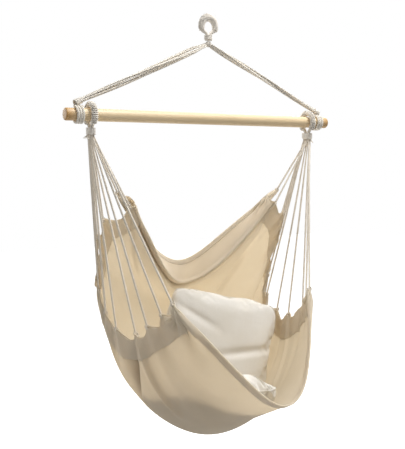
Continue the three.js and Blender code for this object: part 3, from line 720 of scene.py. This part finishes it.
def add_seat_eyes():
    opening = math.radians(24)
    reach = SEAT_EYE_REACH + 0.0009
    for sign, hand in SIDES:
        x = sign * SEAT_EYE_X
        ring = [(x, reach * math.sin(a), -reach * math.cos(a))
                for a in np.linspace(opening, 2 * np.pi - opening, 11)]
        spine = even(through([(x, LEG_SPREAD, LEG_END)] + ring + [(x, -LEG_SPREAD, LEG_END)]), 150)
        spine[:, 2] -= BAR_DROP
        core = rope_parts(spine, SEAT_EYE_CORE, plies=4, pitch=0.03, sides=18, up=(1, 0, 0), groove=0.1)
        rope(f"{hand}_ring_core", [core], "seat", pale_rope, replaces=[f"{hand}_seat_eye_core"])
        thick = 0.0023
        cord = wound(spine[18:-18], (1, 0, 0), SEAT_EYE_CORE + 0.0001 + thick, 31)
        rope(f"{hand}_ring_winding", [rope_parts(cord, thick, pitch=0.008, sides=10)], "seat", pale_rope,
             replaces=[f"{hand}_seat_eye_winding"])
        thick, turns = 0.00165, 7
        u = np.linspace(0, 1, turns * 28 + 1)
        angle = 2 * np.pi * turns * u
        neck = np.stack([x + NECK_WIDE * 1.13 * squared(np.cos(angle)),
                         NECK_LONG * 1.16 * squared(np.sin(angle)),
                         -BAR_DROP + NECK_TOP - thick - (NECK_LENGTH - 2 * thick) * u], 1)
        rope(f"{hand}_neck_cord", [rope_parts(neck, thick * 1.05, pitch=0.008, sides=10)], "seat", pale_rope,
             replaces=[f"{hand}_neck_whipping"])
        add_tail(sign, hand, x)


def add_tail(sign, hand, x):
    """The loose end of the whipping, frayed, on the outer side of the neck."""
    top = np.array([x + sign * 0.0105, -0.006, -BAR_DROP + NECK_TOP - NECK_LENGTH + 0.004])
    parts = []
    for k in range(5):
        lean = unit(np.array([sign * (0.1 + 0.16 * k), -0.35 + 0.17 * k, -1.0]))
        u = np.linspace(0, 1, 16)[:, None]
        curl = np.array([sign * 0.004, 0.002 * (k - 2), 0.0]) * u ** 2
        points = top + lean * 0.017 * u + curl
        parts.append(rope_parts(points, 0.0016, plies=2, pitch=0.006, sides=8, taper=lambda v: 1 - 0.6 * v))
    rope(f"{hand}_neck_tail", parts, "seat", cord_cotton)


def neck_place(index):
    row = 0 if index + 1 in NECK_ROWS[0] else 1
    column = NECK_ROWS[row].index(index + 1)
    return (0.5 - row) * CORD_PITCH, (2.5 - column) * CORD_PITCH


def cord_route(sign, index):
    """Where a cord starts in the neck and leaves it, where it meets the cloth's edge, and its way back up."""
    dx, y = neck_place(index)
    x = sign * (SEAT_EYE_X + dx)
    top = np.array([x, y, -BAR_DROP + CORD_TOP])
    bend = np.array([x, y, -BAR_DROP + NECK_TOP - NECK_LENGTH - CORD_RADIUS])
    target = gathered(CORD_SHARES[index], float(sign))
    return top, bend, target, unit(bend - target)


def add_cords():
    for sign, hand in SIDES:
        for index in range(len(CORD_SHARES)):
            top, bend, target, away = cord_route(sign, index)
            end = target + away * 0.0055
            first = np.linspace(0, 1, 8)[:, None] * (bend - top) + top
            u = np.linspace(0, 1, int(np.linalg.norm(end - bend) / CORD_STEP))[1:, None]
            points = np.concatenate([first, bend + (end - bend) * u])
            cord = rope_parts(points, CORD_RADIUS, plies=2, pitch=0.013, sides=10, groove=0.3,
                              taper=lambda v: 1.02 + 0.38 * smoothstep(v, 0.06, 0.3))
            rope(f"{hand}_laid_cord_{index + 1}", [cord, edge_loop(sign, index, target, away)], "seat",
                 cord_cotton, replaces=[f"{hand}_seat_cord_{index + 1}"])


def edge_loop(sign, index, target, away):
    """The cord's end, taken through the cloth's edge and back."""
    normal = cloth_normal(CORD_SHARES[index], float(sign))
    inward = -away
    across = unit(np.cross(normal, inward))
    angle = np.linspace(0, 2 * np.pi * 1.85, 60)
    centre = target + inward * 0.0015
    points = (centre + np.cos(angle)[:, None] * -inward * 0.0068 + np.sin(angle)[:, None] * normal * 0.0052
              + across * ((angle / (2 * np.pi) - 0.92) * 0.0046)[:, None])
    return rope_parts(points, 0.0019, plies=2, pitch=0.009, sides=8, groove=0.3)


# Seat cloth with its facings, hems and edges

def refined(marks, per):
    """The marks with the way from each to the next cut into this many steps."""
    out = [marks[0]]
    for a, b in zip(marks[:-1], marks[1:]):
        out += list(a + (b - a) * np.arange(1, per + 1) / per)
    return np.array(out)


FACING_FROM = 0.855
HEM_SHARE = 0.012
BACK_HEM_SHARE = 0.0225
CLOTH_THICKNESS = 0.0016
TRIM_THICKNESS = 0.0012
# From the cloth's middle to a trim's middle, and to the two faces of a hem
TRIM_OFFSET = 0.0022
HEM_OUTSIDE = 0.0029
HEM_INSIDE = 0.0010


def add_cloth():
    """The seat cloth, and the pieces sewn on it: facing, binding and bead at the sides, collar and hems."""
    rows = refined(CORD_SHARES, 22)
    side = np.concatenate([np.linspace(0, 0.5, 30), np.linspace(0.5, 0.85, 34)[1:],
                           np.linspace(0.85, 1, 26)[1:]])
    columns = np.concatenate([-side[:0:-1], side])
    cloth = sheet_mesh("canvas_seat", rows, columns, CLOTH_THICKNESS)
    # Painted shade along the left's long fold and under the collar, kept in the crease attribute on both skins
    shade_depth = painted_crease_shade(*np.meshgrid(rows, columns, indexing="ij")).ravel()
    layer = cloth.data.attributes.new("crease", "FLOAT", "POINT")
    layer.data.foreach_set("value", np.concatenate([shade_depth, shade_depth]))
    finish_piece(cloth, "seat", cotton, ["seat_cloth"])
    trims = []
    for sign, hand in SIDES:
        t = np.sort(sign * np.linspace(FACING_FROM, 0.992, 30))
        for name, part, offset in (("facing", rows[rows > RIDGE + 0.008], -TRIM_OFFSET),
                                   ("binding", rows[rows > 0.5], TRIM_OFFSET)):
            facing = sheet_mesh(f"{hand}_{name}", part, t, TRIM_THICKNESS, offset)
            trims.append(finish_piece(facing, "seat", facing_cloth))
        edge = gathered(refined(CORD_SHARES, 30), float(sign))
        bead = rope_parts(edge, 0.0024, plies=2, pitch=0.05, sides=8, groove=0.05)
        trims.append(rope(f"{hand}_edge_roll", [bead], "seat", cotton))
    collar = sheet_mesh("back_collar", np.linspace(BACK_HEM_SHARE + 0.002, RIDGE + 0.004, 40),
                        columns[np.abs(columns) < 0.985], TRIM_THICKNESS, -TRIM_OFFSET)
    trims.append(finish_piece(collar, "seat", facing_cloth))
    t = np.linspace(-0.99, 0.99, 420)
    for name, inner, end in (("back_hem", BACK_HEM_SHARE, 0.0), ("front_hem", 1 - HEM_SHARE, 1.0)):
        trims.append(finish_piece(hem_fold(name, inner, end, columns), "seat", facing_cloth))
        edge = gathered(end, t)
        line = edge + unit(edge - gathered(abs(end - 0.004), t)) * 0.0028
        roll = rope_parts(line, 0.0022, plies=2, pitch=0.012, sides=8, groove=0.12)
        trims.append(rope(f"{name}_roll", [roll], "seat", facing_cloth))
    return cloth, trims


def hem_fold(name, inner, end, columns):
    """A hem turned round the end of the cloth: one closed band that goes from one face to the other."""
    there = np.linspace(inner, end, 8)
    ring = []
    for offset, beyond in ((HEM_OUTSIDE, 0.0028), (-HEM_INSIDE, 0.0010)):
        ring += [(s, offset, 0) for s in there] + [(end, 0.0, beyond)] + [(s, -offset, 0) for s in there[::-1]]
    points = []
    for s, offset, beyond in ring:
        points.append(gathered(s, columns, offset))
        if beyond:
            points[-1] += unit(points[-1] - gathered(abs(s - 0.01), columns)) * beyond
    P = np.stack(points)
    m, n = P.shape[:2]
    uv = np.stack(np.broadcast_arrays(distances(P[0]), np.arange(m)[:, None] * 0.004), -1)
    i, k = np.meshgrid(np.arange(m), np.arange(n - 1), indexing="ij")
    j = (i + 1) % m
    faces = np.stack([i * n + k, j * n + k, j * n + k + 1, i * n + k + 1], -1).reshape(-1, 4).tolist()
    faces += [[i * n for i in range(m)][::-1], [i * n + n - 1 for i in range(m)]]
    return new_mesh(name, P.reshape(-1, 3), faces, uv.reshape(-1, 2))


STITCH_PITCH = 0.0042
STITCH_LENGTH = 0.003
STITCH_THICKNESS = 0.0005


def stitch_parts(s, t, offset):
    """Short raised stitches along a line on the cloth at this offset, each a lozenge with six corners."""
    points = gathered(s, t, offset)
    length = distances(points)
    at = np.arange(STITCH_PITCH, length[-1] - STITCH_PITCH, STITCH_PITCH)
    centre, before, after = [interpolated(at + k * STITCH_LENGTH, length, points) for k in (0, -0.5, 0.5)]
    normal = unit(interpolated(at, length, cloth_normal(s, t) * math.copysign(1, offset)))
    side = unit(np.cross(normal, after - before)) * STITCH_THICKNESS
    lift = normal * STITCH_THICKNESS * 0.9
    verts = np.stack([before, centre + side, centre + lift, centre - side, after, centre - lift], 1)
    verts = verts.reshape(-1, 3)
    lozenge = np.array([[0, 1, 2], [0, 2, 3], [4, 2, 1], [4, 3, 2],
                        [0, 5, 1], [0, 3, 5], [4, 1, 5], [4, 5, 3]])
    faces = (lozenge + 6 * np.arange(len(at))[:, None, None]).reshape(-1, 3).tolist()
    return verts, faces, np.zeros((len(verts), 2))


PLEAT_RADIUS = 0.0052


def add_pleats():
    """The cloth drawn into small pleats that run together at each of its four corners."""
    pleats = []
    u = np.linspace(0.06, 1, 26)
    for sign, hand in SIDES:
        for place, end, inward in (("back", 0.0, 1), ("front", 1.0, -1)):
            parts = []
            for k in range(5):
                turn = math.radians(14 + 16 * k)
                s = end + inward * 0.07 * math.sin(turn) * u
                t = sign * (1 - 0.21 * math.cos(turn) * u)
                full = 1.0 if k % 2 == 0 else 0.6
                for face in (-1, 1):
                    line = gathered(s, t, face * TRIM_OFFSET)
                    parts.append(rope_parts(line, PLEAT_RADIUS, plies=1, pitch=1.0, sides=12, groove=0.0,
                                            taper=lambda v: full * np.sin(np.pi * v ** 0.7) ** 0.8 + 0.06))
            pleats.append(rope(f"{hand}_{place}_pleats", parts, "seat", facing_cloth))
    return pleats


def add_stitches():
    parts = []
    t = np.linspace(-0.97, 0.97, 500)
    for s in (1 - HEM_SHARE + 0.002, BACK_HEM_SHARE - 0.002):
        for offset in (0.0033, -0.0033):
            parts.append(stitch_parts(s, t, offset))
    for sign in (-1, 1):
        for start, offset in ((0.51, 0.0031), (RIDGE + 0.012, -0.0031)):
            parts.append(stitch_parts(np.linspace(start, 0.99, 900), sign * (FACING_FROM + 0.006), offset))
    verts, faces, uvs = join_parts(parts)
    return finish_piece(new_mesh("seam_stitches", verts, faces, uvs), "seat", thread)


# Cushions

CUSHION_WIDTH = 0.366
CUSHION_HEIGHT = 0.362
BACK_THICKNESS = 0.114
SEAT_THICKNESS = 0.090
# The seam's height above the lower face, as a share of the thickness
SEAM = 0.42
SEAM_POINTS = 700
SEAM_SMOOTHING = 9
# How near the pads and their piping come to the cloth's middle surface, and where this is looked at
PAD_GAP = 0.003
PIPING_GAP = 0.004
NEAR_CLOTH = 0.04


def pillow_skins(cells, plan, plump):
    """The two skins of a pillow lying flat, before its filling swells it. Their rims meet along the seam."""
    share = np.sin(np.pi / 2 * (2 * np.arange(cells + 1) / cells - 1))
    a, b = np.meshgrid(share, share, indexing="ij")
    crown = np.clip((1 - a * a) * (1 - b * b), 0, 1) ** 0.42
    x = plan * CUSHION_WIDTH / 2 * a * (1 + 0.035 * (1 - b * b) - 0.095 * b ** 6)
    y = plan * CUSHION_HEIGHT / 2 * b * (1 + 0.035 * (1 - a * a) - 0.095 * a ** 6)
    thick = plump * BACK_THICKNESS * crown
    return np.stack([x, y, thick * (1 - SEAM)], -1), np.stack([x, y, -thick * SEAM], -1)


def closed_skins(upper, lower):
    """Points and faces of the closed form between two skins that share their rim."""
    n = len(upper)
    high = np.arange(n * n).reshape(n, n)
    low = high + n * n
    low[0], low[-1], low[:, 0], low[:, -1] = high[0], high[-1], high[:, 0], high[:, -1]
    over = np.stack([high[:-1, :-1], high[1:, :-1], high[1:, 1:], high[:-1, 1:]], -1).reshape(-1, 4)
    under = np.stack([low[:-1, :-1], low[:-1, 1:], low[1:, 1:], low[1:, :-1]], -1).reshape(-1, 4)
    faces = np.concatenate([over, under])
    used = np.unique(faces)
    number = np.full(2 * n * n, -1)
    number[used] = np.arange(len(used))
    return np.concatenate([upper.reshape(-1, 3), lower.reshape(-1, 3)])[used], number[faces]


def tree_of(points):
    tree = KDTree(len(points))
    for index, point in enumerate(points):
        tree.insert(point, index)
    tree.balance()
    return tree


def points_of(mesh):
    flat = np.empty(3 * len(mesh.vertices))
    mesh.vertices.foreach_get("co", flat)
    return flat.reshape(-1, 3)


def swollen(verts, faces, voxel, pressure, frames, cap):
    """The closed form remeshed evenly and swelled as cloth under pressure: start, end and faces."""
    work = new_mesh("work", verts, faces)
    remesh = work.modifiers.new("remesh", "REMESH")
    remesh.mode = "VOXEL"
    remesh.voxel_size = voxel
    mesh = bpy.data.meshes.new_from_object(work.evaluated_get(bpy.context.evaluated_depsgraph_get()))
    work.modifiers.clear()
    work.data = mesh
    start = points_of(mesh)
    cloth = work.modifiers.new("cloth", "CLOTH")
    cloth.settings.use_pressure = True
    cloth.settings.uniform_pressure_force = pressure
    cloth.settings.effector_weights.gravity = 0
    cloth.settings.shrink_min = -0.02
    cloth.point_cache.frame_start = 1
    cloth.point_cache.frame_end = frames + 1
    for step in range(1, frames + 1):
        bpy.context.scene.frame_set(step)
    swelled = bpy.data.meshes.new_from_object(work.evaluated_get(bpy.context.evaluated_depsgraph_get()))
    moved = points_of(swelled) - start
    length = np.maximum(np.linalg.norm(moved, axis=1, keepdims=True), 1e-9)
    end = start + moved * np.minimum(1, cap / length)
    faces = [list(face.vertices) for face in swelled.polygons]
    bpy.data.objects.remove(work)
    bpy.context.scene.frame_set(1)
    return start, end, faces


def pillow():
    """A stuffed pillow lying flat, fitted to the cushions' size: points, faces and the line of its seam."""
    upper, lower = pillow_skins(cells=64, plan=0.985, plump=0.62)
    rim = np.concatenate([upper[:, 0], upper[-1, 1:], upper[-2::-1, -1], upper[0, -2::-1]])
    seam = interpolated(np.linspace(0, len(rim) - 1, SEAM_POINTS, endpoint=False), np.arange(len(rim)), rim)
    verts, faces = closed_skins(upper, lower)
    start, verts, faces = swollen(verts, faces, voxel=0.006, pressure=4.0, frames=16, cap=0.026)
    tree = tree_of(start)
    near = [[index for _, index, _ in tree.find_n(point, 6)] for point in seam]
    shift = (verts[near] - start[near]).mean(1)
    shift = np.concatenate([shift[-SEAM_SMOOTHING:], shift, shift[:SEAM_SMOOTHING]])
    even_share = np.full(2 * SEAM_SMOOTHING + 1, 1 / (2 * SEAM_SMOOTHING + 1))
    seam = seam + np.stack([np.convolve(shift[:, k], even_share, "valid") for k in range(3)], 1)
    low, high = verts.min(0), verts.max(0)
    size = np.array([CUSHION_WIDTH, CUSHION_HEIGHT, BACK_THICKNESS])
    bottom = np.array([-CUSHION_WIDTH / 2, -CUSHION_HEIGHT / 2, -BACK_THICKNESS * SEAM])
    verts, seam = [bottom + (points - low) * size / (high - low) for points in (verts, seam)]
    return verts, faces, seam


def on_seat(points):
    """From the flat pillow to its place on the seat cloth, which its lower face follows."""
    a, b = points[:, 0] * 2 / CUSHION_WIDTH, points[:, 1] * 2 / CUSHION_HEIGHT
    pulled = 1 - 0.11 * (a * b) ** 2
    a, b = a * pulled, b * pulled
    plump = 1.1 + 0.44 * np.exp(-((b + 0.62) / 0.55) ** 2) * (1 - 0.12 * (a - 0.2) ** 2)
    height = (points[:, 2] + BACK_THICKNESS * SEAM) * SEAT_THICKNESS * plump / BACK_THICKNESS
    s = 0.82 - 0.128 * b + 0.035 * a
    t = -0.198 + 0.49 * a
    lift = 0.0039 - 0.018 * a * a + height
    return cloth_point(s, t) - cloth_normal(s, t) * lift[..., None]


def on_back(points):
    """From the flat pillow to its place leaning on the back of the cloth. Its upper edge sags a little."""
    a, b = points[:, 0] * 2 / CUSHION_WIDTH, points[:, 1] * 2 / CUSHION_HEIGHT
    sag = 0.003 * np.clip(1 - a * a, 0, 1) * smoothstep(b, 0.2, 1)
    lean, roll, yaw = np.radians([-11, 12.5, -22])
    crease = (0.009 * np.exp(-((b + 0.16 - 0.3 * a) / 0.075) ** 2) * smoothstep(a, -0.35, 0.35)
              + 0.006 * np.exp(-((b - 0.28 + 0.42 * a) / 0.08) ** 2) * smoothstep(-a, -0.15, 0.5)
              + 0.003 * np.exp(-((b + 0.6 - 0.16 * a * a) / 0.09) ** 2) * smoothstep(a, -0.6, 0.1))
    inside = np.clip(points[:, 2] / (0.3 * BACK_THICKNESS), 0, 1) * (1 - a ** 6)
    local = np.stack([points[:, 0] * 1.05 + 0.014, -points[:, 2] + crease * inside, points[:, 1] - sag], -1)
    cy, sy, cl, sl, cr, sr = (f(v) for v in (yaw, lean, roll) for f in (math.cos, math.sin))
    turn = (np.array([[cy, -sy, 0], [sy, cy, 0], [0, 0, 1]])
            @ np.array([[1, 0, 0], [0, cl, -sl], [0, sl, cl]])
            @ np.array([[cr, 0, sr], [0, 1, 0], [-sr, 0, cr]]))
    return local @ turn.T + np.array([0.063, 0.071, -0.7741 - BAR_DROP])


def kept_inside(points, gap):
    """The points pressed inwards wherever they come nearer to the cloth's middle surface than the gap."""
    s, t = np.meshgrid(np.linspace(0.1, 1, 150), np.linspace(-1, 1, 181), indexing="ij")
    face = gathered(s, t).reshape(-1, 3)
    inward = -cloth_normal(s, t).reshape(-1, 3)
    tree = tree_of(face)
    out = points.copy()
    for number, point in enumerate(points):
        _, index, distance = tree.find(point)
        if distance < NEAR_CLOTH:
            short = gap - (point - face[index]).dot(inward[index])
            if short > 0:
                out[number] += inward[index] * short
    return out


def add_cushions():
    verts, faces, seam = pillow()
    for name, body, place in (("seat_pad", "seat_cushion", on_seat), ("back_pad", "back_cushion", on_back)):
        points = kept_inside(place(verts), PAD_GAP)
        line = kept_inside(place(np.concatenate([seam, seam[:1]])), PIPING_GAP)
        pad = new_mesh(name, points, faces, verts[:, :2])
        finish_piece(pad, body, cushion_cloth, [body])
        soft = pad.modifiers.new("soft", "SUBSURF")
        soft.levels = soft.render_levels = 1
        rope(f"{name}_piping", [rope_parts(line, 0.0019, plies=2, pitch=0.03, sides=8, groove=0.04)], body,
             cushion_cloth)


add_camera()
add_world()
add_floor()
add_lamp("key", (0.8, -1.0, 2.5), 2.0, 142)
add_lamp("right", (2.6, 1.6, 0.2), 2.4, 98)
add_lamp("back", (-0.9, 3.0, 0.8), 2.6, 88)
add_lamp("fill", (-2.6, -1.8, 1.5), 2.2, 18)

add_bar()
add_hanging_eye()
add_throat()
add_spreader_ropes()
add_bar_loops()
add_seat_eyes()
add_cords()
cloth, trims = add_cloth()
trims += add_pleats()
trims.append(add_stitches())
add_cushions()

bpy.context.scene.view_settings.view_transform = "Standard"
